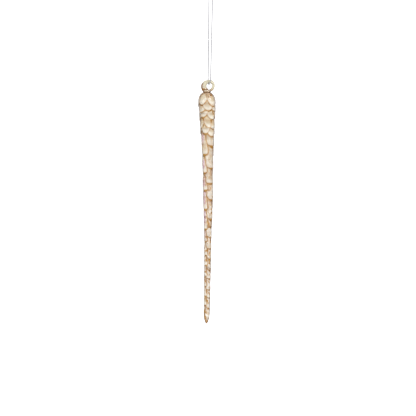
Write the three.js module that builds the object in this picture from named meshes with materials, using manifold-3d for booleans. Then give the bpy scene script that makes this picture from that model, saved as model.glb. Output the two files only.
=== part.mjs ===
// Icicle hanging ornament: a solid glass icicle with a glass eye, on a doubled thread tied in a loop.
// Millimetres, +Z up. The origin is the axis of the hook wire that the thread's loop hangs over.
// The eye's ring faces -Y, and +X is to its right.
import * as THREE from "three";
import { mergeVertices } from "three/addons/utils/BufferGeometryUtils.js";
import Module from "manifold-3d";

// ---- Driving dimensions ----
const SHAFT_TOP = -84; // height of the flat on which the eye's collar is fused
const SHAFT_LENGTH = 189.4; // from that flat down to the tip
const SHAFT_OFFSET = -1.86; // the shaft's axis at its top, measured from the plumb line
const SHAFT_LEAN = 0.0405; // sideways drift of the axis for each millimetre down
const SHAFT_BOW = 0.000125; // and how that drift dies away, for each millimetre squared

// Depths of the rows' lips below the shaft's top; the first two rows only round off the shoulder.
const LIPS = [
  ...[-10, -4, 6.6, 13.6, 19.2, 26.2, 32, 39.9, 47.3, 56.9, 63.7, 70.5, 76.8, 83, 92.4, 99, 107.2, 114.6],
  ...[119.4, 124.2, 129.8, 134, 138.6, 142.6, 147.3, 150.8, 155.5, 159.3, 163.7, 167.3, 171, 175, 179.6],
  184.2,
];
// The upper rows are pressed all round. From row 7 on, each row is a pair of pinches, front and back.
const PINCHED_ROW = 7;
const PRESSED = { around: 6, start: -26, sideFall: 0.35, riseFall: 0.5, slant: 0 };
const PINCHED = { around: 2, start: -45, sideFall: 2.4, riseFall: 0.25, slant: 16 };
const LIP_PLACE = 0.3; // where the lip is, in row pitches below the tabled depth
const LIP_RISE = 0.28; // how much higher it is at the scale's sides, in row pitches
const LIP_CURVE = 2.4; // power of the way to the side that the rise follows
const STEP_FALL = 10; // steepness of the step under a lip
const ANGLE_WANDER = 11; // degrees that hand crimping moves a scale sideways
const DEPTH_WANDER = 1.3; // millimetres that it moves one up or down
const SIZE_WANDER = 0.12; // and the share by which one stands higher or lower
const CREASE_SHARE = 0.12; // depth of the creases as a share of the shaft's radius
const CREASE_LEAST = 0.12; // and what they have anywhere
const SMOOTH_DROP = 181; // depth below which the tip is a plain drop
const FADE_LENGTH = 4; // over which the crimping dies away above that

const COLLAR_GAP = 0.3; // between the shaft's flat and the collar
const COLLAR_RADIUS = 3.3;
const COLLAR_HEIGHT = 2.4;
const RING_DEPTH_SHARE = 0.95; // the ring's section is a little flatter from front to back

const THREAD_DIAMETER = 0.75;
const THREAD_SIDES = 8;
const LOOP_RADIUS = 1.5; // centreline of the thread over the hook
const KNOT_WIDTH = 2.6;
const KNOT_HEIGHT = 2.8;
const KNOT_BASE = 2.2; // the knot's lowest point above the hook's axis
const TAIL_LENGTH = 7.5;
const TAIL_SPLAY = 0.3; // radians that each cut tail leans from upright

// ---- Colours and finishes ----
const amberGlass = new THREE.MeshStandardMaterial({ color: 0xd9b98c, roughness: 0.08, metalness: 0 });
const paleGlass = new THREE.MeshStandardMaterial({ color: 0xdccfa8, roughness: 0.08, metalness: 0 });
const nylon = new THREE.MeshStandardMaterial({ color: 0xd6d6da, roughness: 0.4, metalness: 0 });

// ---- Booleans ----
const wasm = await Module();
wasm.setup();

function toSolid(geometry) {
  const bare = geometry.index ? geometry.toNonIndexed() : geometry.clone();
  bare.deleteAttribute("normal");
  bare.deleteAttribute("uv");
  const merged = mergeVertices(bare, 1e-4);
  return new wasm.Manifold(
    new wasm.Mesh({
      numProp: 3,
      vertProperties: merged.attributes.position.array,
      triVerts: new Uint32Array(merged.index.array),
    }),
  );
}

function join(geometries) {
  const whole = geometries.map(toSolid).reduce((sum, next) => sum.add(next));
  const mesh = whole.getMesh();
  return new THREE.BufferGeometry()
    .setAttribute("position", new THREE.BufferAttribute(mesh.vertProperties, 3))
    .setIndex(new THREE.BufferAttribute(mesh.triVerts, 1));
}

// Moves every vertex of a geometry by a function of its position.
function reshape(geometry, move) {
  const position = geometry.attributes.position;
  const point = new THREE.Vector3();
  for (let i = 0; i < position.count; i++) {
    point.fromBufferAttribute(position, i);
    move(point);
    position.setXYZ(i, point.x, point.y, point.z);
  }
  return geometry;
}

// A smooth curve through pairs of (place, value), read at any place between the first and the last.
function tableCurve(pairs) {
  return (place) => {
    const last = pairs.length - 1;
    const beyond = pairs.findIndex(([p]) => p > place);
    const right = beyond < 0 ? last : Math.max(beyond, 1);
    const at = (i) => pairs[Math.min(Math.max(i, 0), last)];
    const slope = (i) => (at(i + 1)[1] - at(i - 1)[1]) / (at(i + 1)[0] - at(i - 1)[0]);
    const [p0, v0] = at(right - 1);
    const [p1, v1] = at(right);
    const step = p1 - p0;
    const t = Math.min(Math.max((place - p0) / step, 0), 1);
    const rise = t * t * (3 - 2 * t);
    const leave = t * (1 - t) * (1 - t) * step * slope(right - 1);
    const arrive = t * t * (t - 1) * step * slope(right);
    return v0 + (v1 - v0) * rise + leave + arrive;
  };
}

// ---- The crimped shaft ----
// Radius over the scales' lips against depth below the shaft's top.
const shaftRadius = tableCurve([
  [0, 3.6],
  [1.0, 5.0],
  [2.4, 6.3],
  [4.5, 7.1],
  [8, 7.4],
  [13, 7.3],
  [20, 6.7],
  [30, 6.25],
  [44, 5.45],
  [62, 5.0],
  [88, 4.4],
  [112, 3.6],
  [150, 3.05],
  [178, 2.75],
  [184.8, 2.15],
  [188, 1.2],
  [189, 0.6],
]);

// Three repeatable unevennesses of hand work, each from -1 to 1, for the scale in a row and column.
const sideways = (row, column) => Math.sin(2.4 * row + 1.9 * column * column - 4.2);
const upDown = (row, column) => Math.sin(1.7 * row + 2.3 * column * column - 1.3);
const size = (row, column) => Math.sin(3.1 * row + 4.7 * column - 5.8);

// The distance between lips around a row.
function rowPitch(row) {
  const above = Math.max(row - 1, 0);
  const below = Math.min(row + 1, LIPS.length - 1);
  return (LIPS[below] - LIPS[above]) / (below - above);
}

// Height of one scale at an angle (degrees) and a depth. A scale swells slowly down to its lip, drops away
// quickly below it, and falls off to both sides.
function oneScale(row, column, angle, depth) {
  const style = row < PINCHED_ROW ? PRESSED : PINCHED;
  const spacing = 360 / style.around;
  const lip = LIPS[row] + DEPTH_WANDER * upDown(row, column);
  const down = (depth - lip) / rowPitch(row) - LIP_PLACE;
  const turned = style.start + (column + row / 2) * spacing + ANGLE_WANDER * sideways(row, column);
  const away = ((((angle - turned - style.slant * down) % 360) + 540) % 360) - 180;
  const across = away / (spacing / 2);
  const drop = down + LIP_RISE * Math.abs(across) ** LIP_CURVE;
  const fall = drop < 0 ? style.riseFall * (-drop) ** 1.7 : STEP_FALL * drop * drop;
  return 1 + SIZE_WANDER * size(row, column) - style.sideFall * across * across - fall;
}

// Height of the scaled surface: 1 on a lip, lower in the creases. The highest scale shows.
function scaleHeight(angle, depth) {
  const sharpness = 16;
  const below = LIPS.findIndex((lip) => lip > depth);
  const near = below < 0 ? LIPS.length - 1 : below;
  let sum = 0;
  for (let row = Math.max(near - 4, 0); row <= Math.min(near + 3, LIPS.length - 1); row++) {
    const { around } = row < PINCHED_ROW ? PRESSED : PINCHED;
    for (let column = 0; column < around; column++) {
      sum += Math.exp(sharpness * oneScale(row, column, angle, depth));
    }
  }
  return Math.max(Math.min(Math.log(sum + 1e-9) / sharpness, 1.05), 0);
}

function shaftGeometry() {
  const around = 24;
  const rings = 90;
  const depths = [0, 0.6, 1.4];
  for (let i = 1; i < rings; i++) depths.push(1.4 + ((SHAFT_LENGTH - 1.8) * i) / rings);
  depths.push(SHAFT_LENGTH - 0.25);
  const outline = [new THREE.Vector2(0, -SHAFT_LENGTH)];
  for (const depth of depths.reverse()) outline.push(new THREE.Vector2(shaftRadius(depth), -depth));
  outline.push(new THREE.Vector2(0, 0));
  const shaft = reshape(new THREE.LatheGeometry(outline, around), (point) => {
    const depth = -point.y;
    const radius = Math.hypot(point.x, point.z);
    const angle = THREE.MathUtils.radToDeg(Math.atan2(point.x, point.z));
    const fade = THREE.MathUtils.smoothstep(SMOOTH_DROP - depth, 0, FADE_LENGTH) * Math.min(depth / 3, 1);
    const crease = fade * (CREASE_SHARE * shaftRadius(depth) + CREASE_LEAST);
    const pressed = radius > 0 ? (radius - crease * (1 - scaleHeight(angle, depth))) / radius : 0;
    point.x *= pressed;
    point.z *= pressed;
  });
  shaft.rotateX(Math.PI / 2);
  return reshape(shaft, (point) => {
    point.x += SHAFT_OFFSET - SHAFT_LEAN * point.z - SHAFT_BOW * point.z * point.z;
    point.z += SHAFT_TOP;
  });
}

// ---- The hanging eye ----
// The glass is drawn up from the collar's left, curled over to the right and tucked back on to the collar.
// Each place is [x, z, radius of the glass there].
const CURL = [
  [-2.4, -82.6, 2.3],
  [-3.9, -81.0, 2.3],
  [-4.45, -78.6, 2.3],
  [-3.3, -76.2, 1.95],
  [-0.8, -75.0, 1.5],
  [1.4, -75.05, 1.4],
  [3.0, -76.3, 1.2],
  [3.5, -78.3, 1.12],
  [2.8, -80.6, 1.15],
  [1.3, -82.0, 1.1],
  [0, -82.5, 0.9],
];

function curlGeometry() {
  const around = 12;
  const steps = 40;
  const line = new THREE.CatmullRomCurve3(CURL.map(([x, z]) => new THREE.Vector3(x, 0, z)));
  const thickness = tableCurve(CURL.map(([, , radius], i) => [i / (CURL.length - 1), radius]));
  const rod = [new THREE.Vector2(0, 0)];
  for (let i = 1; i < steps; i++) rod.push(new THREE.Vector2(thickness(i / steps), i / steps));
  rod.push(new THREE.Vector2(0, 1));
  return reshape(new THREE.LatheGeometry(rod, around), (point) => {
    const { x, y, z } = point;
    const tangent = line.getTangent(y);
    point.copy(line.getPoint(y));
    point.x -= x * tangent.z;
    point.z += x * tangent.x;
    point.y += z * RING_DEPTH_SHARE;
  });
}

function collarGeometry() {
  const outline = [
    [0, 0],
    [0.9, 0],
    [1, 0.25],
    [0.98, 0.55],
    [0.8, 0.85],
    [0.4, 1],
    [0, 1],
  ].map(([r, h]) => new THREE.Vector2(r * COLLAR_RADIUS, h * COLLAR_HEIGHT));
  return new THREE.LatheGeometry(outline, 20)
    .rotateX(Math.PI / 2)
    .translate(SHAFT_OFFSET, 0, SHAFT_TOP + COLLAR_GAP);
}

// ---- The thread and its knot ----
// One run goes down behind the ring, the bend passes under the ring's top, and the other run comes up in
// front. The points are spaced closely in the bends, and the solid has its steps where the points are.
class ThreadRoute extends THREE.CatmullRomCurve3 {
  getPointAt(t, target) {
    return this.getPoint(t, target);
  }
  getTangentAt(t, target) {
    return this.getTangent(t, target);
  }
}

const OVER_THE_HOOK = [
  [-1.22, 0.9, -40],
  [-1.32, 0.6, -27],
  [-1.42, 0.3, -13],
  [-1.48, 0.08, -4],
  [-LOOP_RADIUS, 0, -0.2],
  ...[150, 120, 90, 60, 30].map((degrees) => {
    const turn = THREE.MathUtils.degToRad(degrees);
    return [LOOP_RADIUS * Math.cos(turn), 0, LOOP_RADIUS * Math.sin(turn)];
  }),
  [LOOP_RADIUS, 0, -0.2],
  [1.48, -0.08, -4],
  [1.42, -0.3, -13],
  [1.34, -0.6, -27],
  [1.26, -0.9, -40],
];

const THROUGH_THE_EYE = [
  [-1.22, 0.91, -40.3],
  [-1.14, 1.2, -52],
  [-1.06, 1.48, -64],
  [-0.98, 1.84, -73],
  [-0.9, 2.0, -75],
  [-0.72, 1.78, -76.25],
  [-0.45, 1.05, -76.98],
  [-0.1, 0, -77.22],
  [0.22, -1.05, -76.98],
  [0.5, -1.78, -76.25],
  [0.78, -2.0, -75],
  [1.02, -1.84, -73],
  [1.14, -1.48, -64],
  [1.2, -1.2, -52],
  [1.26, -0.91, -40.3],
];

function threadGeometry(points) {
  const section = new THREE.Shape();
  for (let i = 0; i < THREAD_SIDES; i++) {
    const turn = (2 * Math.PI * i) / THREAD_SIDES;
    const x = (THREAD_DIAMETER / 2) * Math.cos(turn);
    const y = (THREAD_DIAMETER / 2) * Math.sin(turn);
    if (i === 0) section.moveTo(x, y);
    else section.lineTo(x, y);
  }
  section.closePath();
  const route = new ThreadRoute(points.map((point) => new THREE.Vector3(...point)));
  const steps = 2 * (points.length - 1);
  return new THREE.ExtrudeGeometry(section, { steps, bevelEnabled: false, extrudePath: route });
}

function knotGeometry() {
  const lump = new THREE.SphereGeometry(0.5, 14, 10).scale(KNOT_WIDTH, 0.85 * KNOT_WIDTH, KNOT_HEIGHT);
  const top = KNOT_BASE + KNOT_HEIGHT;
  const tail = (side) =>
    new THREE.CylinderGeometry(THREAD_DIAMETER / 2, THREAD_DIAMETER / 2, TAIL_LENGTH, THREAD_SIDES)
      .rotateX(Math.PI / 2)
      .translate(0, 0, TAIL_LENGTH / 2)
      .rotateY(side * TAIL_SPLAY)
      .translate(side * 0.45, 0, top - 0.9);
  return join([lump.translate(0, 0, KNOT_BASE + KNOT_HEIGHT / 2), tail(-1), tail(1)]);
}

// ---- Assembly ----
function named(name, geometry, material) {
  const mesh = new THREE.Mesh(geometry, material);
  mesh.name = name;
  return mesh;
}

const ornament = new THREE.Group();
ornament.add(named("icicle_shaft", shaftGeometry(), amberGlass));
ornament.add(named("hanging_eye", join([collarGeometry(), curlGeometry()]), paleGlass));
ornament.add(named("thread_upper", threadGeometry(OVER_THE_HOOK), nylon));
ornament.add(named("thread_lower", threadGeometry(THROUGH_THE_EYE), nylon));
ornament.add(named("thread_knot", knotGeometry(), nylon));

export default ornament;
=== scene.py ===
"""Looks of the hanging glass icicle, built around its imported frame.

The icicle is one drop of pale gold glass, drawn out and crimped with pliers into overlapping scales. A rod
of the same glass is curled into an eye on its top, and a nylon thread runs through the eye and over the hook.
"""

import logging
import math
from collections.abc import Sequence
from dataclasses import dataclass, field, fields
from enum import Enum

import bpy
import numpy as np
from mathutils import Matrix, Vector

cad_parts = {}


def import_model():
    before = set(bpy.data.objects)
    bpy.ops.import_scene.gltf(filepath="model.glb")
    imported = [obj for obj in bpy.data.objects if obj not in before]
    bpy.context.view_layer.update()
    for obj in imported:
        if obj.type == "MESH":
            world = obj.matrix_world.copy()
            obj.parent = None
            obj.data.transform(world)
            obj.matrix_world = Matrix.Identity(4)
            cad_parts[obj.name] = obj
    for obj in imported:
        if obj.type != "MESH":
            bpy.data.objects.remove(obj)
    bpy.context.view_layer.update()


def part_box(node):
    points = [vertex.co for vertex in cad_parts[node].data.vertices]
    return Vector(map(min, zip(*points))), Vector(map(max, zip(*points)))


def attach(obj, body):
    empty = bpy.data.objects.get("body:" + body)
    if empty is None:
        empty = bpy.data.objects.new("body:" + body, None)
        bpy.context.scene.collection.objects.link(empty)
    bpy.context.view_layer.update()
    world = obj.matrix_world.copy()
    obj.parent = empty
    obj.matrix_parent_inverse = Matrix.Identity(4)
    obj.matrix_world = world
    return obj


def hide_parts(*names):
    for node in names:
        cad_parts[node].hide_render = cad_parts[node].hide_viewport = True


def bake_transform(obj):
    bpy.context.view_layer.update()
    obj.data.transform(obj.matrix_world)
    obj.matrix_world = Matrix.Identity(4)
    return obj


Socket = bpy.types.NodeSocket
Piece = bpy.types.Object
Point = tuple[float, float, float]
LOG = logging.getLogger("icicle")
MM = 0.001


class Body(Enum):
    """The moving bodies of the ornament, as the record names them."""

    KNOT = "hung_knot"
    THREAD = "thread"
    THREAD_END = "thread_end"
    ICICLE = "icicle"


class Slot(Enum):
    """The record's material slots."""

    AMBER_GLASS = "amber_glass"
    PALE_GLASS = "pale_glass"
    THREAD = "thread"


# ---- Shapes shared by the pieces ----


def ramp(values: np.ndarray, start: float, full: float) -> np.ndarray:
    """A share s that goes from 0 at start to 1 at full, eased at both ends: 3 s^2 - 2 s^3."""
    share = np.clip((values - start) / (full - start), 0.0, 1.0)
    return share * share * (3.0 - 2.0 * share)


def bell(values: np.ndarray, middle: float, width: float | np.ndarray) -> np.ndarray:
    """A share that is 1 at the middle and fades to both sides: exp(-((value - middle) / width)^2)."""
    return np.exp(-(((values - middle) / width) ** 2))


def table_curve(pairs: Sequence[tuple[float, float]], places: np.ndarray) -> np.ndarray:
    """A cubic Hermite curve through a table, each slope taken across the two neighbouring rows.

    Args:
        pairs: (place, value) rows in rising order.
        places: where the curve is read.

    Returns:
        The curve's value at each place.
    """
    at, value = np.array(pairs, float).T
    slope = np.empty_like(value)
    slope[1:-1] = (value[2:] - value[:-2]) / (at[2:] - at[:-2])
    slope[0] = (value[1] - value[0]) / (at[1] - at[0])
    slope[-1] = (value[-1] - value[-2]) / (at[-1] - at[-2])
    right = np.clip(np.searchsorted(at, places, side="right"), 1, len(at) - 1)
    step = at[right] - at[right - 1]
    t = np.clip((places - at[right - 1]) / step, 0.0, 1.0)
    rise = t * t * (3.0 - 2.0 * t)
    leave = t * (1.0 - t) ** 2 * step * slope[right - 1]
    arrive = t * t * (t - 1.0) * step * slope[right]
    return value[right - 1] + (value[right] - value[right - 1]) * rise + leave + arrive


def smooth_route(points: Sequence[Sequence[float]], samples: int) -> tuple[np.ndarray, np.ndarray]:
    """A centripetal Catmull-Rom curve through points.

    Between two points the curve is a cubic whose end slopes are the divided differences over knots spaced by
    the square root of the distance between points.

    Args:
        points: the points passed through, three numbers each.
        samples: how many places the curve is read at, evenly in its parameter.

    Returns:
        The places, and the unit tangents there.
    """
    given = np.array(points, float)
    ends = (2 * given[:1] - given[1:2], 2 * given[-1:] - given[-2:-1])
    padded = np.vstack([ends[0], given, ends[1]])
    gap = np.linalg.norm(np.diff(padded, axis=0), axis=1) ** 0.5
    t = np.linspace(0.0, len(given) - 1.0, samples)
    span = np.minimum(t.astype(int), len(given) - 2)
    w = (t - span)[:, None]
    p0, p1, p2, p3 = (padded[span + i] for i in range(4))
    d0, d1, d2 = (gap[span + i][:, None] for i in range(3))
    leave = ((p1 - p0) / d0 - (p2 - p0) / (d0 + d1) + (p2 - p1) / d1) * d1
    arrive = ((p2 - p1) / d1 - (p3 - p1) / (d1 + d2) + (p3 - p2) / d2) * d1
    square, cube = -3 * p1 + 3 * p2 - 2 * leave - arrive, 2 * p1 - 2 * p2 + leave + arrive
    place = p1 + leave * w + square * w**2 + cube * w**3
    along = leave + 2 * square * w + 3 * cube * w**2
    return place, along / np.linalg.norm(along, axis=1, keepdims=True)


def softened(values: np.ndarray) -> np.ndarray:
    """Values on rings of points blurred over their neighbours, each weighed 1, 2, 1 round and along.

    Args:
        values: array of rings by points round.

    Returns:
        The blurred values.
    """
    around = (np.roll(values, 1, axis=1) + 2.0 * values + np.roll(values, -1, axis=1)) / 4.0
    padded = np.pad(around, ((1, 1), (0, 0)), mode="edge")
    return (padded[:-2] + 2.0 * around + padded[2:]) / 4.0


def skin(name: str, vertices: np.ndarray, *faces: np.ndarray) -> Piece:
    """A smoothly shaded piece, made straight from its vertices and faces.

    Args:
        name: the piece's name.
        vertices: array of points by 3, in metres.
        faces: arrays of faces by their vertices, anticlockwise as seen from outside.

    Returns:
        The piece, at the origin.
    """
    mesh = bpy.data.meshes.new(name)
    mesh.from_pydata(vertices.tolist(), [], sum((part.tolist() for part in faces), []))
    mesh.polygons.foreach_set("use_smooth", np.ones(len(mesh.polygons), bool))
    mesh.update()
    piece = bpy.data.objects.new(name, mesh)
    bpy.context.scene.collection.objects.link(piece)
    return piece


def lattice(rings: int, around: int) -> tuple[np.ndarray, np.ndarray]:
    """The faces of a skin whose first vertex closes the first of its rings of points.

    Args:
        rings: how many rings.
        around: points on each ring.

    Returns:
        The four-cornered faces between the rings, and the fan of triangles to the first vertex.
    """
    ring, turn = np.meshgrid(np.arange(rings - 1), np.arange(around), indexing="ij")
    here, beside = 1 + ring * around + turn, 1 + ring * around + (turn + 1) % around
    quads = np.stack([here, beside, beside + around, here + around], axis=-1).reshape(-1, 4)
    fan = np.stack([np.zeros(around, int), beside[0], here[0]], axis=-1)
    return quads, fan


def closed_rows(name: str, rows: np.ndarray, first: np.ndarray, last: np.ndarray) -> Piece:
    """A closed skin over rings of points, with a fan to one point at each end.

    The rings run round anticlockwise as seen from the last point, so that the faces point outwards.

    Args:
        name: the piece's name.
        rows: array of rings by points round by 3, in millimetres.
        first: the point that closes the first ring.
        last: the point that closes the last ring.

    Returns:
        The piece, at the origin, in metres. Its vertices are the first point, the rings, then the last point.
    """
    rings, around, _ = rows.shape
    vertices = np.vstack([first[None], rows.reshape(-1, 3), last[None]]) * MM
    quads, foot_fan = lattice(rings, around)
    top, turns = len(vertices) - 1, np.arange(around)
    start = top - around
    head_fan = np.stack([np.full(around, top), start + turns, start + (turns + 1) % around], axis=-1)
    return skin(name, vertices, quads, foot_fan, head_fan)


def paint(piece: Piece, attribute: str, values: np.ndarray) -> None:
    """Stores one number for each vertex of a piece, for its material to read."""
    layer = piece.data.attributes.new(attribute, "FLOAT", "POINT")
    layer.data.foreach_set("value", values.astype(np.float32))


def join(piece: Piece, others: Sequence[Piece]) -> None:
    """Takes the other pieces' meshes into the first piece.

    Args:
        piece: the piece that stays.
        others: the pieces that become part of it.
    """
    chosen = [piece, *others]
    with bpy.context.temp_override(active_object=piece, selected_editable_objects=chosen, object=piece):
        bpy.ops.object.join()


def tube(
    name: str, route: np.ndarray, along: np.ndarray, section: np.ndarray, beside: Sequence[float]
) -> Piece:
    """A section carried along a route, its ends closed.

    At each place the section stands square to the tangent: its first axis is the beside vector less its part
    along the tangent, and its second axis is the tangent crossed with the first.

    Args:
        name: the piece's name.
        route: the places passed through, in millimetres.
        along: the unit tangents there.
        section: array of places by points round by 2, in millimetres.
        beside: a direction that the route never follows.

    Returns:
        The piece.
    """
    side = np.array(beside, float) - along * (along @ np.array(beside, float))[:, None]
    side /= np.linalg.norm(side, axis=1, keepdims=True)
    other = np.cross(along, side)
    rows = route[:, None] + section[..., :1] * side[:, None] + section[..., 1:] * other[:, None]
    return closed_rows(name, rows, route[0], route[-1])


# ---- Finishes ----


def settle(node: bpy.types.Node, values: dict[str, object]) -> None:
    """Sets a node's inputs by their names."""
    for name, value in values.items():
        node.inputs[name].default_value = value


class Nodes:
    """A node tree, with short calls for the nodes that the finishes share."""

    def __init__(self, tree: bpy.types.NodeTree) -> None:
        """Takes the tree of a material or of a group."""
        self.tree = tree

    @classmethod
    def of_material(cls, name: str) -> tuple[bpy.types.Material, "Nodes", bpy.types.Node]:
        """A new material with its shader nodes.

        Args:
            name: the material's name.

        Returns:
            The material, its nodes and its Principled BSDF.
        """
        material = bpy.data.materials.new(name)
        material.use_nodes = True
        return material, cls(material.node_tree), material.node_tree.nodes["Principled BSDF"]

    def add(self, kind: str, **settings: object) -> bpy.types.Node:
        """A new node with its properties set.

        Args:
            kind: the node's type.
            settings: its properties, by name.

        Returns:
            The node.
        """
        node = self.tree.nodes.new(kind)
        for key, value in settings.items():
            setattr(node, key, value)
        return node

    def link(self, source: Socket, target: Socket) -> None:
        """Joins two sockets."""
        self.tree.links.new(source, target)

    def attribute(self, name: str) -> Socket:
        """The number that a piece stores at each vertex under that name."""
        return self.add("ShaderNodeAttribute", attribute_name=name).outputs["Fac"]

    def bump(self, height: Socket, strength: float, distance: float) -> Socket:
        """The normal of a surface raised by a height.

        Args:
            height: the height's socket, 0 to 1.
            strength: share of the effect.
            distance: metres that a height of 1 stands up.

        Returns:
            The normal's socket.
        """
        node = self.add("ShaderNodeBump")
        settle(node, {"Strength": strength, "Distance": distance})
        self.link(height, node.inputs["Height"])
        return node.outputs["Normal"]

    def mix(
        self,
        share: Socket,
        first: Socket | Sequence[float],
        second: Socket | Sequence[float],
        blend: str = "MIX",
    ) -> Socket:
        """Mixes two colours by a share.

        Args:
            share: 0 gives the first colour, 1 the second.
            first: a colour, or a socket that gives one.
            second: a colour, or a socket that gives one.
            blend: how the second colour acts on the first.

        Returns:
            The mixed colour's socket.
        """
        node = self.add("ShaderNodeMix", data_type="RGBA", blend_type=blend)
        self.link(share, node.inputs["Factor"])
        for key, colour in (("A", first), ("B", second)):
            socket = next(s for s in node.inputs if s.name == key and s.type == "RGBA")
            if isinstance(colour, Socket):
                self.link(colour, socket)
            else:
                socket.default_value = (*colour, 1.0)
        return next(s for s in node.outputs if s.type == "RGBA")

    def sum_up(self, operation: str, *terms: Socket | float) -> Socket:
        """A Math node's result, kept from 0 to 1.

        Args:
            operation: the node's operation.
            terms: its terms, numbers or sockets.

        Returns:
            The result's socket.
        """
        node = self.add("ShaderNodeMath", operation=operation, use_clamp=True)
        for socket, term in zip(node.inputs, terms):
            if isinstance(term, Socket):
                self.link(term, socket)
            else:
                socket.default_value = term
        return node.outputs["Value"]

    def past(self, value: Socket, limit: float, slope: float) -> Socket:
        """Slope times the way a value is past a limit, kept from 0 to 1; a negative slope counts below it."""
        return self.sum_up("MULTIPLY_ADD", value, slope, -slope * limit)

    def place(self, stretch: Sequence[float], slant: float = 0.0) -> Socket:
        """The piece's own coordinates, drawn out for a pattern.

        Args:
            stretch: how many times longer the pattern is along each axis.
            slant: degrees by which its long axis, up the piece, leans to the left.

        Returns:
            The coordinates' socket.
        """
        mapping = self.add("ShaderNodeMapping", vector_type="TEXTURE")
        settle(mapping, {"Rotation": (0.0, -math.radians(slant), 0.0), "Scale": stretch})
        self.link(self.add("ShaderNodeTexCoord").outputs["Object"], mapping.inputs["Vector"])
        return mapping.outputs["Vector"]

    def noise(
        self, scale: float, detail: float, stretch: Sequence[float] = (1, 1, 1), slant: float = 0.0
    ) -> Socket:
        """Noise over the piece's own coordinates, drawn out as place() says.

        Args:
            scale: lumps to the metre.
            detail: how many times finer noise is added.
            stretch: how many times longer the lumps are along each axis.
            slant: degrees by which they lean to the left.

        Returns:
            The noise's socket, 0 to 1.
        """
        node = self.add("ShaderNodeTexNoise")
        settle(node, {"Scale": scale, "Detail": detail})
        self.link(self.place(stretch, slant), node.inputs["Vector"])
        return node.outputs["Fac"]

    def cells(
        self, scale: float, stretch: Sequence[float] = (1, 1, 1), slant: float = 0.0
    ) -> tuple[Socket, Socket]:
        """Irregular cells over the piece's own coordinates, drawn out as place() says.

        Args:
            scale: cells to the metre.
            stretch: how many times longer the cells are along each axis.
            slant: degrees by which they lean to the left.

        Returns:
            The way from each place to its cell's nearest edge, and a number from 0 to 1 for each cell alone.
        """
        place = self.place(stretch, slant)
        found = []
        for feature, output in (("DISTANCE_TO_EDGE", "Distance"), ("F1", "Color")):
            node = self.add("ShaderNodeTexVoronoi", feature=feature)
            settle(node, {"Scale": scale})
            self.link(place, node.inputs["Vector"])
            found.append(node.outputs[output])
        parts = self.add("ShaderNodeSeparateColor")
        self.link(found[1], parts.inputs["Color"])
        return found[0], parts.outputs["Red"]


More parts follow.
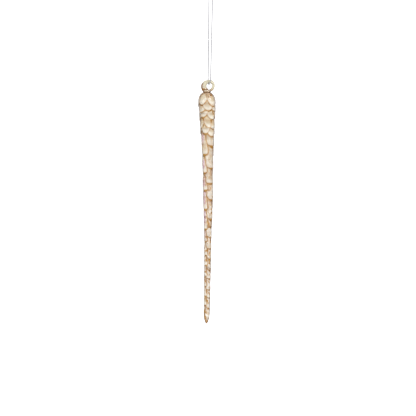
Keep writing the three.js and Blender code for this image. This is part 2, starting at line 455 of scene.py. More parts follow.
def lustre_and_painted_light() -> bpy.types.NodeTree:
    """The pattern of a gold lustre on pressed glass, with painted highlights and painted shade, as a shader
    node group that both glasses use.

    It reads the piece's tint, its painted highlight on the lips, its amber pools with painted shade, its
    painted shade, its sheen and how slender it is. Where the piece is slender, slanting streaks, angular
    cells and fine flecks lie
    over the face colour: the pale ones are painted highlights and the amber ones painted shade. Painted
    violet glints, painted highlights on the lips and amber pools with painted shade come last.

    Returns:
        The group, which takes the four colours and puts out the colour, the mask of the painted shade and the
        height of the ripples.
    """
    made = bpy.data.node_groups.get("lustre_and_painted_light")
    if made:
        return made
    tree = bpy.data.node_groups.new("lustre_and_painted_light", "ShaderNodeTree")
    for colour in ("Face", "Painted_highlight", "Amber", "Sheen"):
        tree.interface.new_socket(colour, in_out="INPUT", socket_type="NodeSocketColor")
    tree.interface.new_socket("Color", in_out="OUTPUT", socket_type="NodeSocketColor")
    for mask in ("Painted_shade", "Ripple"):
        tree.interface.new_socket(mask, in_out="OUTPUT", socket_type="NodeSocketFloat")
    nodes = Nodes(tree)
    given = nodes.add("NodeGroupInput").outputs
    result = nodes.add("NodeGroupOutput").inputs
    slender, slant = nodes.attribute("slender"), 14.0
    patches = nodes.noise(scale=260.0, detail=2.0, stretch=(1, 1, 1.7))
    streaks = nodes.noise(scale=520.0, detail=1.0, stretch=(1, 1, 6), slant=slant)
    edges, lot = nodes.cells(scale=470.0, stretch=(1, 1, 1.7), slant=slant)
    _, fleck = nodes.cells(scale=820.0, stretch=(1, 1, 1.5), slant=slant)
    glints = nodes.noise(scale=180.0, detail=0.0, stretch=(1, 1, 2))
    drawn, small = nodes.past(slender, 0.067, 6.0), nodes.past(slender, 0.15, 3.0)
    warm = nodes.sum_up("MULTIPLY", nodes.attribute("tint"), nodes.sum_up("ADD", patches, 0.3))
    skin = nodes.mix(warm, given["Face"], given["Amber"])
    # The pale streaks, cells and flecks are painted highlights and the amber ones painted shade. The glints
    # where the sheen attribute is are painted violet glints.
    for value, limit, slope, where, strength, colour in (
        (streaks, 0.557, 14.0, drawn, 0.9, "Painted_highlight"),
        (streaks, 0.4, -14.0, drawn, 0.65, "Amber"),
        (lot, 0.4, 14.0, small, 1.0, "Painted_highlight"),
        (lot, 0.207, -14.0, small, 0.8, "Amber"),
        (edges, 0.075, -8.0, small, 1.0, "Amber"),
        (fleck, 0.686, 14.0, small, 0.95, "Painted_highlight"),
        (fleck, 0.243, -14.0, small, 0.9, "Amber"),
        (glints, 0.4, 8.0, nodes.attribute("sheen"), 1.0, "Sheen"),
    ):
        share = nodes.sum_up("MULTIPLY", nodes.past(value, limit, slope), where)
        skin = nodes.mix(nodes.sum_up("MULTIPLY", share, strength), skin, given[colour])
    # Painted highlight: the lips, a streak down the drop and a band round the collar go towards the pale lip
    # colour.
    skin = nodes.mix(nodes.attribute("painted_highlight"), skin, given["Painted_highlight"])
    # Amber where the lustre pools in the seams, and painted shade in amber under the lips, on the sides of
    # the drop, on the wedge below the collar and where the eye's parts meet.
    skin = nodes.mix(nodes.attribute("pool"), skin, given["Amber"])
    nodes.link(skin, result["Color"])
    # Painted shade: the dark places broken up by patches, with painted dark spots among the cells where the
    # piece is slender.
    painted_shade = nodes.sum_up("MULTIPLY", nodes.attribute("painted_shade"), nodes.past(patches, 0.025, 2.0))
    for value, limit, strength in ((fleck, 0.1, 0.8), (lot, 0.079, 1.0)):
        shade_spots = nodes.sum_up("MULTIPLY", nodes.past(value, limit, -14.0), small)
        painted_shade = nodes.sum_up("MAXIMUM", painted_shade, nodes.sum_up("MULTIPLY", shade_spots, strength))
    nodes.link(painted_shade, result["Painted_shade"])
    domes = nodes.sum_up("POWER", nodes.sum_up("MULTIPLY", edges, 2.0), 0.6)
    domes = nodes.sum_up("MULTIPLY", nodes.sum_up("MULTIPLY", domes, 0.7), nodes.past(slender, 0.0, 6.0))
    waves = nodes.noise(scale=420.0, detail=1.0, stretch=(1, 1, 2.2))
    nodes.link(nodes.sum_up("ADD", domes, nodes.sum_up("MULTIPLY", waves, 0.4)), result["Ripple"])
    return tree


@dataclass(frozen=True)
class LustreGlass:
    """Clear glass with a thin gold lustre, pooling as amber where the glass was pressed, under painted
    highlights and shade.
    """

    name: str
    # The face is the glass's own colour, and the amber its lustre's, which also serves for painted shade; the
    # lip and sheen colours are painted highlights, and the umber and rim colours painted shade.
    face: Point
    painted_highlight: Point
    amber: Point
    shade_umber: Point
    rim_shade: Point
    sheen: Point
    depth_colour: Point
    rim_start: float = 0.32
    rim_full: float = 0.68
    rim_share: float = 0.9
    slender_rim: float = 0.1
    dark_ahead: float = 0.55
    dark_aside: float = 1.4
    depth_density: float = 40.0
    ripple_strength: float = 0.35
    ripple_depth: float = 0.0006

    def material(self) -> bpy.types.Material:
        """The glass as a material, with painted shade at its pressed places and a painted dark rim where it
        is seen edge on.

        Returns:
            The material.
        """
        material, nodes, shader = Nodes.of_material(self.name)
        pattern = nodes.add("ShaderNodeGroup", node_tree=lustre_and_painted_light())
        for key in ("Face", "Painted_highlight", "Amber", "Sheen"):
            settle(pattern, {key: (*getattr(self, key.lower()), 1.0)})
        facing = nodes.add("ShaderNodeLayerWeight")
        settle(facing, {"Blend": 0.5})
        aside = facing.outputs["Facing"]
        # Painted shade in umber, stronger where the glass is seen edge on.
        grazing = nodes.sum_up("MULTIPLY_ADD", aside, self.dark_aside, self.dark_ahead)
        painted_shade = nodes.sum_up("MULTIPLY", pattern.outputs["Painted_shade"], grazing)
        skin = nodes.mix(painted_shade, pattern.outputs["Color"], self.shade_umber)
        # A painted dark rim where the glass is seen edge on, wider where the piece is slender.
        edge = nodes.add("ShaderNodeMapRange", interpolation_type="SMOOTHSTEP")
        settle(edge, {"From Min": self.rim_start, "From Max": self.rim_full})
        wide = nodes.sum_up("MULTIPLY_ADD", nodes.attribute("slender"), self.slender_rim, aside)
        nodes.link(wide, edge.inputs["Value"])
        skin = nodes.mix(nodes.sum_up("MULTIPLY", edge.outputs["Result"], self.rim_share), skin, self.rim_shade)
        nodes.link(skin, shader.inputs["Base Color"])
        normal = nodes.bump(pattern.outputs["Ripple"], self.ripple_strength, self.ripple_depth)
        nodes.link(normal, shader.inputs["Normal"])
        settle(shader, {"Metallic": 0.0, "Roughness": 0.07, "IOR": 1.5, "Transmission Weight": 0.52})
        settle(shader, {"Coat Weight": 0.15, "Coat Roughness": 0.05})
        body = nodes.add("ShaderNodeVolumeAbsorption")
        settle(body, {"Color": (*self.depth_colour, 1.0), "Density": self.depth_density})
        nodes.link(body.outputs["Volume"], nodes.tree.nodes["Material Output"].inputs["Volume"])
        return material


@dataclass(frozen=True)
class PaleNylon:
    """Clear nylon thread, laid from fine plies, pale grey where it is seen against light."""

    name: str = "pale_nylon"
    colour: Point = (0.46, 0.46, 0.49)
    shade: Point = (0.26, 0.26, 0.29)
    groove_share: float = 0.6
    fibre_depth: float = 0.00005

    def material(self) -> bpy.types.Material:
        """The thread as a material, with painted shade between the plies that the piece's groove attribute
        marks.

        Returns:
            The material.
        """
        material, nodes, shader = Nodes.of_material(self.name)
        # The fibres vary the thread's tone at random; the grooves between the plies get painted shade.
        fibres = nodes.noise(scale=3000.0, detail=2.0, stretch=(1, 1, 4))
        colour = nodes.mix(fibres, self.colour, self.shade)
        groove = nodes.sum_up("MULTIPLY", nodes.attribute("groove"), self.groove_share)
        colour = nodes.mix(groove, colour, self.shade)
        nodes.link(colour, shader.inputs["Base Color"])
        nodes.link(nodes.bump(fibres, strength=0.2, distance=self.fibre_depth), shader.inputs["Normal"])
        settle(shader, {"Roughness": 0.32, "Subsurface Weight": 0.15})
        settle(shader, {"Subsurface Radius": (1.0, 1.0, 1.0), "Subsurface Scale": 0.0005})
        return material


AMBER_GLASS = LustreGlass(
    name="amber_lustre_glass",
    face=(0.76, 0.69, 0.53),
    painted_highlight=(1.0, 0.98, 0.90),
    amber=(0.56, 0.25, 0.006),
    shade_umber=(0.13, 0.03, 0.0),
    rim_shade=(0.12, 0.055, 0.025),
    sheen=(0.86, 0.60, 0.80),
    depth_colour=(0.97, 0.86, 0.60),
)
PALE_GLASS = LustreGlass(
    name="pale_lustre_glass",
    face=(0.78, 0.75, 0.58),
    painted_highlight=(1.0, 0.95, 0.86),
    amber=(0.55, 0.24, 0.01),
    shade_umber=(0.13, 0.03, 0.0),
    rim_shade=(0.2, 0.11, 0.08),
    sheen=(0.84, 0.78, 0.76),
    depth_colour=(0.97, 0.92, 0.7),
)


# ---- The glass ----


NO_SCALE = -9.0
ANGLE_SEED, DEPTH_SEED = (2.4, 1.9, -4.2), (1.7, 2.3, -1.3)
SIZE_SEED, TINT_SEED = (3.1, 4.7, -5.8), (5.3, 7.1, -9.6)


def by_hand(row: np.ndarray, column: int, seed: Point) -> np.ndarray:
    """A number from -1 to 1 for each scale, sin(a row + b column + c), as no two are pressed alike."""
    return np.sin(seed[0] * row + seed[1] * column + seed[2])


@dataclass(frozen=True)
class Zone:
    """How one part of the shaft is crimped: scales round it, the first one's angle, their falls and slant."""

    around: int
    start: float
    side_fall: float
    rise_fall: float
    slant: float


@dataclass(frozen=True)
class CrimpedShaft:
    """The tapered drop of glass with its rows of scales, sizes in millimetres and angles in degrees."""

    top: float = -84.0
    length: float = 189.4
    offset: float = -1.86
    lean: float = 0.0405
    bow: float = 0.000125
    lips: tuple[float, ...] = (
        *(-10.0, -4.0, 6.6, 13.6, 19.2, 26.2, 32.0, 39.9, 47.3, 56.9, 63.7, 70.5, 76.8, 83.0, 92.4),
        *(99.0, 107.2, 114.6, 119.4, 124.2, 129.8, 134.0, 138.6, 142.6, 147.3, 150.8, 155.5, 159.3),
        *(163.7, 167.3, 171.0, 175.0, 179.6, 184.2),
    )
    pinched_row: int = 7
    pressed: Zone = Zone(around=6, start=-26.0, side_fall=0.35, rise_fall=0.5, slant=0.0)
    pinched: Zone = Zone(around=2, start=-45.0, side_fall=2.4, rise_fall=0.25, slant=16.0)
    lip_place: float = 0.3
    lip_rise: float = 0.28
    lip_curve: float = 2.4
    step_fall: float = 10.0
    angle_wander: float = 11.0
    depth_wander: float = 1.3
    size_wander: float = 0.12
    sharpness: float = 16.0
    crease_share: float = 0.12
    crease_least: float = 0.12
    smooth_drop: float = 181.0
    fade_length: float = 4.0
    points_around: int = 144
    rings: int = 640
    seam_width: float = 0.58
    seam_slimming: float = 0.3
    crevice_width: float = 0.5
    junction_lead: float = 0.16
    wedge_radius: float = 6.4
    wedge_top: tuple[float, float] = (4.5, 1.9)
    wedge_run: tuple[float, float] = (-3.15, 2.5)
    wedge_width: tuple[float, float] = (0.95, 0.45)
    drop_turn: float = 12.0
    glint_band: tuple[float, float] = (-47.0, 13.0)
    radii: tuple[tuple[float, float], ...] = (
        *((0, 3.6), (1.0, 5.0), (2.4, 6.3), (4.5, 7.1), (8, 7.4), (13, 7.3), (20, 6.7), (30, 6.25)),
        *((44, 5.45), (62, 5.0), (88, 4.4), (112, 3.6), (150, 3.05), (178, 2.75), (184.8, 2.15)),
        *((188, 1.2), (189, 0.6)),
    )

    def scales(self, angle: np.ndarray, depth: np.ndarray) -> dict[str, np.ndarray]:
        """The crimped surface at angles and depths, worked out over the scales near each place.

        A scale stands at 1 - side fall across^2 - fall, a little more or less by hand. Across is counted in
        half spacings from the scale's slanting middle, and drop in row pitches below its lip, which rises by
        lip rise |across|^lip curve to both sides. Fall is rise fall |drop|^1.7 above the lip and
        step fall drop^2 below it. The surface is the smooth maximum of the scales, ln(sum exp(k h)) / k.

        Args:
            angle: degrees round from the front, towards +X.
            depth: millimetres below the shaft's top.

        Returns:
            height of the surface; best, second and third highest scale; drop on the highest scale; and tint,
            a number from 0 to 1 for that scale alone.
        """
        lips = np.array(self.lips)
        pitches = np.gradient(lips)
        near = np.rint(np.interp(depth, lips, np.arange(len(lips)))).astype(int)
        total, drop_of, tint_of = (np.zeros_like(depth) for _ in range(3))
        best, second, third = (np.full_like(depth, NO_SCALE) for _ in range(3))
        for step in range(-3, 4):
            row = np.clip(near + step, 0, len(lips) - 1)
            pinched = row >= self.pinched_row
            zone = {
                key.name: np.where(pinched, getattr(self.pinched, key.name), getattr(self.pressed, key.name))
                for key in fields(Zone)
            }
            spacing = 360.0 / zone["around"]
            for column in range(self.pressed.around):
                there = (row == near + step) & (column < zone["around"])
                aside = self.angle_wander * by_hand(row, column**2, ANGLE_SEED)
                lower = self.depth_wander * by_hand(row, column**2, DEPTH_SEED)
                down = (depth - lips[row] - lower) / pitches[row] - self.lip_place
                middle = zone["start"] + (column + row / 2) * spacing + aside + zone["slant"] * down
                across = ((angle - middle + 180.0) % 360.0 - 180.0) / (spacing / 2)
                drop = down + self.lip_rise * np.abs(across) ** self.lip_curve
                rise = zone["rise_fall"] * np.abs(drop) ** 1.7
                fall = zone["side_fall"] * across**2 + np.where(drop < 0, rise, self.step_fall * drop**2)
                size = self.size_wander * by_hand(row, column, SIZE_SEED)
                height = np.where(there, 1.0 + size - fall, NO_SCALE)
                total += np.exp(self.sharpness * height)
                higher = height > best
                third = np.where(higher, second, np.maximum(third, np.minimum(height, second)))
                second = np.where(higher, best, np.maximum(second, height))
                drop_of = np.where(higher, drop, drop_of)
                tint_of = np.where(higher, (by_hand(row, column, TINT_SEED) + 1.0) / 2.0, tint_of)
                best = np.where(higher, height, best)
        height = np.clip(np.log(total + 1e-9) / self.sharpness, 0.0, 1.05)
        found = (height, best, second, third, drop_of, tint_of)
        return dict(zip(("height", "best", "second", "third", "drop", "tint"), found))

    def build(self) -> Piece:
        """The shaft's skin: the radius over the lips less the crease depth times (1 - height of the scales).

        Returns:
            The piece, with the attributes that its material reads.
        """
        crown_rings, tip_rings = np.array([0.0, 0.25, 0.5, 0.8]), np.array([0.32, 0.16, 0.05])
        between = np.linspace(1.1, self.length - 0.5, self.rings - len(crown_rings) - len(tip_rings))
        depth = np.concatenate([crown_rings, between, self.length - tip_rings])[::-1]
        turn = np.arange(self.points_around) * 360.0 / self.points_around
        depth_at, angle = np.meshgrid(depth, turn, indexing="ij")
        radius = table_curve(self.radii, depth_at)
        round_end = np.clip((self.length - depth_at) / (self.length - self.radii[-1][0]), 0.0, 1.0)
        radius = radius * np.sqrt(round_end * (2.0 - round_end))
        scale = self.scales(angle, depth_at)
        fade = ramp(depth_at, self.smooth_drop, self.smooth_drop - self.fade_length)
        fade = fade * np.minimum(depth_at / 3.0, 1.0)
        crease = fade * (self.crease_share * radius + self.crease_least)
        pressed = radius - crease * (1.0 - scale["height"])
        x = self.axis(depth_at) + pressed * np.sin(np.radians(angle))
        y = -pressed * np.cos(np.radians(angle))
        rows = np.stack([x, y, self.top - depth_at], axis=-1)
        tip = np.array([self.axis(self.length), 0.0, self.top - self.length])
        piece = closed_rows("crimped_shaft", rows, tip, np.array([self.offset, 0.0, self.top]))
        self.mark(piece, scale, fade, (angle + 180.0) % 360.0 - 180.0, depth_at, radius)
        return piece

    def axis(self, depth: float | np.ndarray) -> float | np.ndarray:
        """How far the shaft's axis is to the right at a depth: offset + lean depth - bow depth^2."""
        return self.offset + self.lean * depth - self.bow * depth**2

    def mark(
        self,
        piece: Piece,
        scale: dict[str, np.ndarray],
        fade: np.ndarray,
        angle: np.ndarray,
        depth: np.ndarray,
        radius: np.ndarray,
    ) -> None:
        """Stores the painted highlights on the lips, the amber and painted shade, the painted shade of its
        darkest places, the warm scales and the painted violet glints.

        The way to the nearest seam is the lead of the highest scale over the second, divided by how fast that
        lead grows along the surface. Amber fades from the seams with the square of that way.

        Args:
            piece: the shaft.
            scale: what scales() gives.
            fade: share of the crimping at each place.
            angle: degrees round from the front, -180 to 180.
            depth: millimetres below the shaft's top.
            radius: of the shaft there, before crimping.
        """
        lead = scale["best"] - scale["second"]
        arc = np.maximum(radius, 0.3) * 2.0 * np.pi / self.points_around
        around = (np.roll(lead, -1, axis=1) - np.roll(lead, 1, axis=1)) / (2.0 * arc)
        down = np.gradient(lead, axis=0) / np.gradient(depth, axis=0)
        away = lead / np.maximum(np.hypot(around, down), 0.15)
        slender = np.clip(1.0 - radius / 7.0, 0.0, 1.0)
        # The ledge below each lip takes painted shade in amber; amber runs along the seams, as lustre pooled
        # there and as painted shade deeper beside the ledges.
        ledge, under = ramp(scale["drop"], 0.05, 0.17), ramp(scale["drop"], -0.35, -0.65)
        width = (self.seam_width - self.seam_slimming * slender) * (1.0 + 0.5 * under)
        line = bell(away, 0.0, width) * (0.7 + 0.3 * np.maximum(under, ledge))
        # Painted shade in the crevices where three scales meet, and along the seams beside the ledges and
        # near the top.
        junction = np.exp(-(scale["best"] - scale["third"]) / self.junction_lead)
        deep = np.maximum(np.maximum(ledge, under), ramp(depth, 6.5, 3.5))
        crevice = fade * np.maximum(junction, bell(away, 0.0, self.crevice_width) * deep)
        end = ramp(depth, self.length - 4.5, self.length - 1.5)
        drop = ramp(depth, self.smooth_drop - self.fade_length, self.smooth_drop - 1.0)
        # Painted shade on the left and right of the smooth drop, as seen from the front, and a painted
        # highlight streak down its middle.
        aside = np.abs(np.sin(np.radians(angle - self.drop_turn)))
        side_shade = drop * ramp(aside, 0.6, 0.9)
        streak_highlight = 0.55 * drop * (1.0 - end) * ramp(aside, 0.45, 0.15)
        glinting = bell(angle, *self.glint_band) * ramp(depth, 28.0, 38.0) * ramp(depth, 125.0, 105.0)
        wedge_shade = self.wedge_shade(angle, depth)
        warm = 0.03 + 0.35 * scale["tint"] ** 5 + 0.08 * slender
        for name, values, ends in (
            ("pool", np.max([fade * np.maximum(ledge, line), end, side_shade, wedge_shade], axis=0), (1.0, 0.0)),
            ("painted_shade", np.max([crevice, 0.1 * end, 0.75 * side_shade, 1.4 * wedge_shade], axis=0), (0.6, 0.0)),
            ("painted_highlight", np.maximum(fade * ramp(scale["drop"], -0.5, -0.12) * (1.0 - ledge), streak_highlight), (0.0, 0.0)),
            ("tint", fade * warm + 0.5 * (1.0 - fade), (1.0, 0.0)),
            ("slender", slender, (0.6, 0.5)),
            ("sheen", glinting + 0.06, (0.0, 0.0)),
        ):
            soft = softened(np.clip(values, 0, 1))
            paint(piece, name, np.concatenate([[ends[0]], soft.ravel(), [ends[1]]]))

    def wedge_shade(self, angle: np.ndarray, depth: np.ndarray) -> np.ndarray:
        """The painted shade of a short dark crease that runs down from the collar: a bell of the way to a
        straight run.

        Args:
            angle: degrees round from the front, -180 to 180.
            depth: millimetres below the shaft's top.

        Returns:
            1 on the crease, falling to 0 beside it, sooner towards its lower end.
        """
        right = np.radians(angle) * self.wedge_radius - self.wedge_top[0]
        down = depth - self.wedge_top[1]
        run = self.wedge_run
        share = np.clip((run[0] * right + run[1] * down) / (run[0] ** 2 + run[1] ** 2), 0.0, 1.0)
        gap = np.hypot(right - run[0] * share, down - run[1] * share)
        return bell(gap, 0.0, self.wedge_width[0] * (1.0 - share) + self.wedge_width[1] * share)


@dataclass(frozen=True)
class CurledEye:
    """The eye: a rod of glass curled over to the right on a collar, sizes in millimetres.

    The curl's rows hold x, z and radius, and the collar's rows its radius and height as shares of the fields.
    """

    shaft: CrimpedShaft
    curl: tuple[Point, ...] = (
        *((-2.4, -82.6, 2.3), (-3.9, -81.0, 2.3), (-4.45, -78.6, 2.3), (-3.3, -76.2, 1.85)),
        *((-0.8, -75.0, 1.42), (1.4, -75.05, 1.4), (3.0, -76.3, 1.2), (3.5, -78.3, 1.12)),
        *((2.8, -80.6, 1.15), (1.3, -82.0, 1.1), (0.0, -82.5, 0.9)),
    )
    depth_share: float = 0.95
    collar_radius: float = 3.3
    collar_height: float = 2.4
    collar_gap: float = 0.3
    collar_outline: tuple[tuple[float, float], ...] = (
        (0.9, 0.0),
        (1.0, 0.25),
        (0.98, 0.55),
        (0.8, 0.85),
        (0.4, 1.0),
    )
    grain: float = 0.1
    crease_band: tuple[float, float] = (2.5, 0.85)
    foot_band: tuple[float, float] = (0.0, 0.8)
    end_band: tuple[float, float] = (0.7, 0.9)
    highlight_band: tuple[float, float] = (1.2, 0.4)
    tip_band: tuple[float, float] = (2.4, 0.894)
    foot_side: float = 0.6
    lit_limb: tuple[float, float] = (-4.6, 0.775)

    def rod(self) -> Piece:
        """The curled rod: a round section carried along the smooth curve through the curl's rows.

        Returns:
            The piece.
        """
        samples, around = 120, 48
        route, along = smooth_route([(x, 0.0, z) for x, z, _ in self.curl], samples)
        places = [(i / (len(self.curl) - 1), radius) for i, (_, _, radius) in enumerate(self.curl)]
        share = np.linspace(0.0, 1.0, samples)
        radius = table_curve(places, share)
        turn = np.arange(around) * 2.0 * np.pi / around
        section = radius[:, None, None] * np.stack([self.depth_share * np.cos(turn), np.sin(turn)], axis=-1)
        return tube("curled_rod", route, along, section, beside=(0, 1, 0))

    def collar(self) -> Piece:
        """The collar: its outline, smoothed, turned round the shaft's axis and sunk on to the shaft's top.

        Returns:
            The piece.
        """
        rings, around, sunk = 24, 64, 0.05
        share = np.linspace(0.0, 1.0, rings)
        steps = np.linspace(0.0, 1.0, len(self.collar_outline))
        wide, high = zip(*self.collar_outline)
        radius = table_curve(list(zip(steps, wide)), share) * self.collar_radius
        height = table_curve(list(zip(steps, high)), share) * (self.collar_height + self.collar_gap)
        height = height + self.shaft.top - sunk
        turn = np.arange(around) * 2.0 * np.pi / around
        x = self.shaft.offset + radius[:, None] * np.cos(turn)
        y = radius[:, None] * np.sin(turn)
        rows = np.stack([x, y, np.broadcast_to(height[:, None], x.shape)], axis=-1)
        ends = [np.array([self.shaft.offset, 0.0, h]) for h in (height[0], height[-1])]
        return closed_rows("collar", rows, *ends)

    def build(self) -> Piece:
        """The rod and the collar fused into one skin, with the crease between them left a little soft.

        Returns:
            The piece, with the attributes that its material reads.
        """
        rod = self.rod()
        join(rod, [self.collar()])
        rod.name = rod.data.name = "curled_eye"
        fuse = rod.modifiers.new("fuse", "REMESH")
        fuse.mode = "VOXEL"
        fuse.voxel_size = self.grain * MM
        soften = rod.modifiers.new("soften", "SMOOTH")
        soften.factor = 0.5
        soften.iterations = 5
        ready = rod.evaluated_get(bpy.context.evaluated_depsgraph_get())
        fused = bpy.data.meshes.new_from_object(ready)
        rod.modifiers.clear()
        rod.data = fused
        fused.polygons.foreach_set("use_smooth", np.ones(len(fused.polygons), bool))
        self.mark(rod)
        return rod

    def mark(self, piece: Piece) -> None:
        """Stores the amber and painted shade where rod, collar and shaft meet, the painted shade of the dark
        outer side, a painted highlight band round the collar and the painted glint on the lit left limb.

        Up is counted in millimetres from the shaft's top, and aside from the collar's axis.

        Args:
            piece: the eye.
        """
        place = np.empty(3 * len(piece.data.vertices), np.float32)
        piece.data.vertices.foreach_get("co", place)
        x, _, z = place.reshape(-1, 3).T / MM
        up, aside = z - self.shaft.top, np.abs(x - self.shaft.offset)
        # Painted shade in amber and umber where the rod meets the collar, at the collar's foot and its two
        # ends, down the eye's outer side, and amber where the rod's end comes down on the right; a painted
        # highlight band round the collar and a painted glint on the lit left limb.
        crease = bell(up, *self.crease_band) * (x < self.foot_side)
        foot = bell(up, *self.foot_band)
        ends = bell(up, *self.end_band) * ramp(aside, 2.2, 3.0)
        outer_shade = ramp(x, -4.4, -5.8) * ramp(up, 1.5, 3.0)
        tip = bell(up, *self.tip_band) * (x > self.foot_side)
        for name, values in (
            ("pool", crease + foot + 0.8 * ends + 0.5 * outer_shade + 0.35 * tip),
            ("painted_shade", 0.8 * crease + foot + 1.5 * ends + 0.8 * outer_shade),
            ("painted_highlight", bell(up, *self.highlight_band)),
            ("tint", np.full(len(x), 0.12)),
            ("slender", np.zeros(len(x))),
            ("sheen", bell(x, *self.lit_limb) * ramp(up, 3.0, 4.5)),
        ):
            paint(piece, name, np.clip(values, 0.0, 1.0))


# ---- The thread ----


@dataclass(frozen=True)
class HungThread:
    """The thread: over the hook, down to the eye, through it and back, with its knot, in millimetres."""

    diameter: float = 0.75
    loop_radius: float = 1.5
    plies: int = 3
    lay: float = 2.2
    groove_fall: float = 0.16
    step: float = 0.16
    knot_base: float = 2.2
    knot_width: float = 2.6
    knot_height: float = 2.8
    knot_depth: float = 0.62
    knot_steps: int = 180
    tail_length: float = 7.5
    tail_splay: float = 0.3
    tail_apart: float = 0.45
    tail_sunk: float = 0.9
    through_the_eye: tuple[Point, ...] = (
        *((-1.22, 0.91, -40.3), (-1.14, 1.2, -52), (-1.06, 1.48, -64), (-0.98, 1.84, -73)),
        *((-0.9, 2.0, -75), (-0.72, 1.78, -76.25), (-0.45, 1.05, -76.98), (-0.1, 0, -77.22)),
        *((0.22, -1.05, -76.98), (0.5, -1.78, -76.25), (0.78, -2.0, -75), (1.02, -1.84, -73)),
        *((1.14, -1.48, -64), (1.2, -1.2, -52), (1.26, -0.91, -40.3)),
    )

    def over_the_hook(self) -> list[Point]:
        """The upper run: up on the left, an arc over the hook's axis, down on the right.

        Returns:
            The points passed through, in millimetres.
        """
        turns = np.radians([150, 120, 90, 60, 30])
        arc = [(self.loop_radius * math.cos(t), 0.0, self.loop_radius * math.sin(t)) for t in turns]
        left = [(-1.22, 0.9, -40), (-1.32, 0.6, -27), (-1.42, 0.3, -13), (-1.48, 0.08, -4)]
        right = [(1.48, -0.08, -4), (1.42, -0.3, -13), (1.34, -0.6, -27), (1.26, -0.9, -40)]
        return [*left, (-self.loop_radius, 0, -0.2), *arc, (self.loop_radius, 0, -0.2), *right]

    def laid(
        self, name: str, points: Sequence[Sequence[float]], beside: Sequence[float]
    ) -> tuple[Piece, np.ndarray]:
        """A run of thread of twisted plies along a route.

        Round the thread the radius falls by groove fall (1 - |sin(plies angle / 2)|)^2, and the angle turns
        once for each lay along the route.

        Args:
            name: the piece's name.
            points: the points passed through.
            beside: a direction that the route never follows.

        Returns:
            The piece with its groove attribute, and its centreline in metres.
        """
        rough, _ = smooth_route(points, 400)
        length = np.linalg.norm(np.diff(rough, axis=0), axis=1).sum()
        samples, around = int(length / self.step), 24
        fine, _ = smooth_route(points, 4000)
        run = np.concatenate([[0.0], np.cumsum(np.linalg.norm(np.diff(fine, axis=0), axis=1))])
        even = np.linspace(0.0, run[-1], samples)
        route = np.stack([np.interp(even, run, fine[:, i]) for i in range(3)], axis=-1)
        along = np.gradient(route, axis=0)
        along /= np.linalg.norm(along, axis=1, keepdims=True)
        turn = np.arange(around) * 2.0 * np.pi / around
        ply = np.abs(np.sin((turn[None] - 2.0 * np.pi * even[:, None] / self.lay) * self.plies / 2.0))
        groove = (1.0 - ply) ** 2
        radius = self.diameter / 2.0 * (1.0 - self.groove_fall * groove)
        section = radius[..., None] * np.stack([np.cos(turn), np.sin(turn)], axis=-1)
        piece = tube(name, route, along, section, beside)
        paint(piece, "groove", np.concatenate([[0.0], groove.ravel(), [0.0]]))
        return piece, route * MM

    def knot(self) -> Piece:
        """The overhand knot above the hook and its two cut tails.

        The knot is a trefoil, x = sin t + 2 sin 2t, z = cos t - 2 cos 2t, y = -sin 3t, shrunk to its size.

        Returns:
            The piece, with its groove attribute.
        """
        own_width, own_height, around = 5.4, 5.0, 20
        t = np.linspace(0.0, 2.0 * np.pi, self.knot_steps)
        middle = self.knot_base + self.knot_height / 2.0
        thick = self.diameter
        x = (self.knot_width - thick) / own_width * (np.sin(t) + 2.0 * np.sin(2.0 * t))
        z = middle + (self.knot_height - thick) / own_height * (np.cos(t) - 2.0 * np.cos(2.0 * t))
        route = np.stack([x, -self.knot_depth * np.sin(3.0 * t), z], axis=-1)
        along = np.roll(route, -1, axis=0) - np.roll(route, 1, axis=0)
        along /= np.linalg.norm(along, axis=1, keepdims=True)
        turn = np.arange(around) * 2.0 * np.pi / around
        ring = thick / 2.0 * np.stack([np.cos(turn), np.sin(turn)], axis=-1)
        section = np.broadcast_to(ring, (self.knot_steps, around, 2))
        lump = tube("overhand_knot", route, along, section, beside=(0.05, 1, 0.05))
        paint(lump, "groove", np.zeros(len(lump.data.vertices)))
        join(lump, [self.tail(side) for side in (-1, 1)])
        return lump

    def tail(self, side: int) -> Piece:
        """A cut tail that leans to one side, bent a little outwards.

        Args:
            side: -1 for the left tail, 1 for the right.

        Returns:
            The piece, with its groove attribute.
        """
        share = np.linspace(0.0, 1.0, 5)
        foot = self.knot_base + self.knot_height - self.tail_sunk
        lean = self.tail_splay * (0.7 + 0.6 * share)
        x = side * (self.tail_apart + self.tail_length * share * np.sin(lean))
        z = foot + self.tail_length * share * np.cos(lean)
        points = np.stack([x, np.zeros(5), z], axis=-1)
        return self.laid(f"tail_{'left' if side < 0 else 'right'}", points, beside=(0, 1, 0))[0]


# ---- The studio ----


@dataclass(frozen=True)
class Lamp:
    """A square soft light, in metres and watts."""

    name: str
    place: Point
    size: float
    power: float


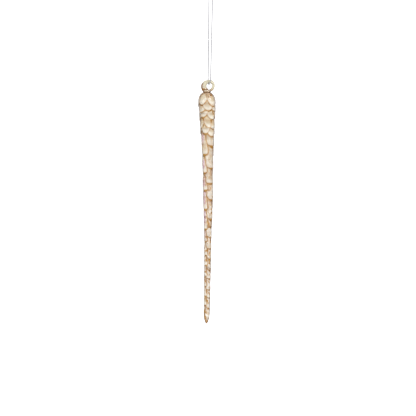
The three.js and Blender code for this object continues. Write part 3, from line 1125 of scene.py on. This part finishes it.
@dataclass(frozen=True)
class Studio:
    """A pale sweep all round, soft light, and the camera, in metres."""

    lens: float = 100.0
    distance: float = 0.948
    aim: tuple[float, float] = (0.00087, -0.1786)
    roll: float = 1.05
    floor_below_tip: float = 0.33
    sweep_radius: float = 4.5
    sweep_height: float = 3.0
    flat_share: float = 0.45
    paper: float = 0.9
    glow: float = 0.75
    card_aside: float = 0.4
    card_width: float = 0.4
    card_ends: tuple[float, float] = (-0.7, 0.25)
    cloth: tuple[Point, Point] = ((0.05, 0.022, 0.008), (0.09, 0.045, 0.02))
    sky: float = 0.66
    lit: Point = (0.0, 0.0, -0.18)
    lamps: tuple[Lamp, ...] = (
        Lamp(name="key", place=(0.9, -1.1, 0.9), size=0.9, power=17.0),
        Lamp(name="fill", place=(-1.2, -0.6, 0.3), size=0.7, power=1.5),
    )

    def camera(self) -> None:
        """A level camera in front of the ornament, rolled as the plumb line leans a little to the right."""
        data = bpy.data.cameras.new("camera")
        data.lens = self.lens
        camera = bpy.data.objects.new("camera", data)
        camera.location = (self.aim[0], -self.distance, self.aim[1])
        camera.rotation_euler = (math.pi / 2, -math.radians(self.roll), 0.0)
        bpy.context.scene.collection.objects.link(camera)
        bpy.context.scene.camera = camera

    def sweep(self) -> Piece:
        """A round floor whose rim curves up like a bowl, with the square of the way past its flat share.

        Returns:
            The floor.
        """
        rings, around = 59, 96
        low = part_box("icicle_shaft")[0][2] - self.floor_below_tip
        share = np.linspace(0.0, 1.0, rings + 1)[1:, None]
        radius = self.sweep_radius * np.sin(share * np.pi / 2)
        past = np.clip((share - self.flat_share) / (1.0 - self.flat_share), 0.0, 1.0)
        height = low + self.sweep_height * past**2
        turn = np.arange(around)[None] * 2.0 * np.pi / around
        rows = np.stack([radius * np.cos(turn), radius * np.sin(turn), height + 0.0 * turn], axis=-1)
        quads, fan = lattice(rings, around)
        vertices = np.vstack([[[0.0, 0.0, low]], rows.reshape(-1, 3)])
        floor = skin("sweep", vertices, quads[:, ::-1], fan[:, ::-1])
        material, _, shader = Nodes.of_material("pale_paper")
        settle(shader, {"Base Color": (self.paper, self.paper, self.paper, 1.0), "Roughness": 0.9})
        settle(shader, {"Emission Color": (1.0, 1.0, 1.0, 1.0), "Emission Strength": self.glow})
        floor.data.materials.append(material)
        floor.visible_diffuse = False
        return floor

    def cards(self) -> list[Piece]:
        """Two tall dark cards, one at each side, that draw dark edges in the glass and stay out of sight.

        Returns:
            The cards.
        """
        material, nodes, shader = Nodes.of_material("dark_card")
        nodes.link(nodes.mix(nodes.noise(scale=6.0, detail=2.0), *self.cloth), shader.inputs["Base Color"])
        settle(shader, {"Roughness": 1.0})
        (low, high), half = self.card_ends, self.card_width / 2
        made = []
        for side in (-1, 1):
            x = side * self.card_aside
            corners = [(x, -half, low), (x, half, low), (x, half, high), (x, -half, high)]
            card = skin(f"card_{'left' if side < 0 else 'right'}", np.array(corners), np.arange(4)[None])
            card.data.materials.append(material)
            card.visible_camera = card.visible_shadow = card.visible_diffuse = False
            made.append(card)
        return made

    def light(self) -> None:
        """An even pale sky, one large soft light from the camera's upper right, and a weak one opposite."""
        world = bpy.data.worlds.new("studio")
        world.use_nodes = True
        settle(world.node_tree.nodes["Background"], {"Color": (1.0, 1.0, 1.0, 1.0), "Strength": self.sky})
        bpy.context.scene.world = world
        for lamp in self.lamps:
            data = bpy.data.lights.new(lamp.name, "AREA")
            data.size, data.energy = lamp.size, lamp.power
            light = bpy.data.objects.new(lamp.name, data)
            light.location = lamp.place
            x, y, z = np.array(self.lit) - np.array(lamp.place)
            down = math.pi - math.acos(z / math.hypot(x, y, z))
            light.rotation_euler = (down, 0.0, math.atan2(y, x) - math.pi / 2)
            bpy.context.scene.collection.objects.link(light)


# ---- The ornament ----


@dataclass
class Ornament:
    """The whole ornament around the frame."""

    shaft: CrimpedShaft = field(default_factory=CrimpedShaft)
    thread: HungThread = field(default_factory=HungThread)

    def glass(self) -> None:
        """Builds the shaft and the eye in place of their nodes."""
        for piece, finish, slot, node in (
            (self.shaft.build(), AMBER_GLASS, Slot.AMBER_GLASS, "icicle_shaft"),
            (CurledEye(self.shaft).build(), PALE_GLASS, Slot.PALE_GLASS, "hanging_eye"),
        ):
            self.dress(piece, finish.material(), slot)
            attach(piece, Body.ICICLE.value)
            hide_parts(node)

    def strings(self) -> None:
        nylon, thread = PaleNylon().material(), self.thread
        knot = thread.knot()
        upper, upper_line = thread.laid("thread_over_hook", thread.over_the_hook(), beside=(0, 1, 0))
        lower, lower_line = thread.laid("thread_through_eye", thread.through_the_eye, beside=(1, 0, 0))
        for piece in (knot, upper, lower):
            self.dress(piece, nylon, Slot.THREAD)
        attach(knot, Body.KNOT.value)
        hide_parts("thread_knot")
        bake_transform(upper)
        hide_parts("thread_upper")
        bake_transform(lower)
        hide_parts("thread_lower")

    @staticmethod
    def dress(piece: Piece, material: bpy.types.Material, slot: Slot) -> None:
        """Gives a piece its material.

        Args:
            piece: the piece.
            material: its material.
            slot: not used.
        """
        piece.data.materials.clear()
        piece.data.materials.append(material)
        LOG.info("%s: %d faces", piece.name, len(piece.data.polygons))


def main() -> None:
    """Builds the studio and the ornament around the frame."""
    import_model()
    bpy.context.scene.view_settings.view_transform = "Standard"
    studio = Studio()
    studio.camera()
    for backdrop in (studio.sweep(), *studio.cards()):
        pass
    studio.light()
    ornament = Ornament()
    ornament.strings()
    ornament.glass()


if __name__ == "__main__":
    logging.basicConfig(level=logging.INFO, format="%(message)s")
    main()
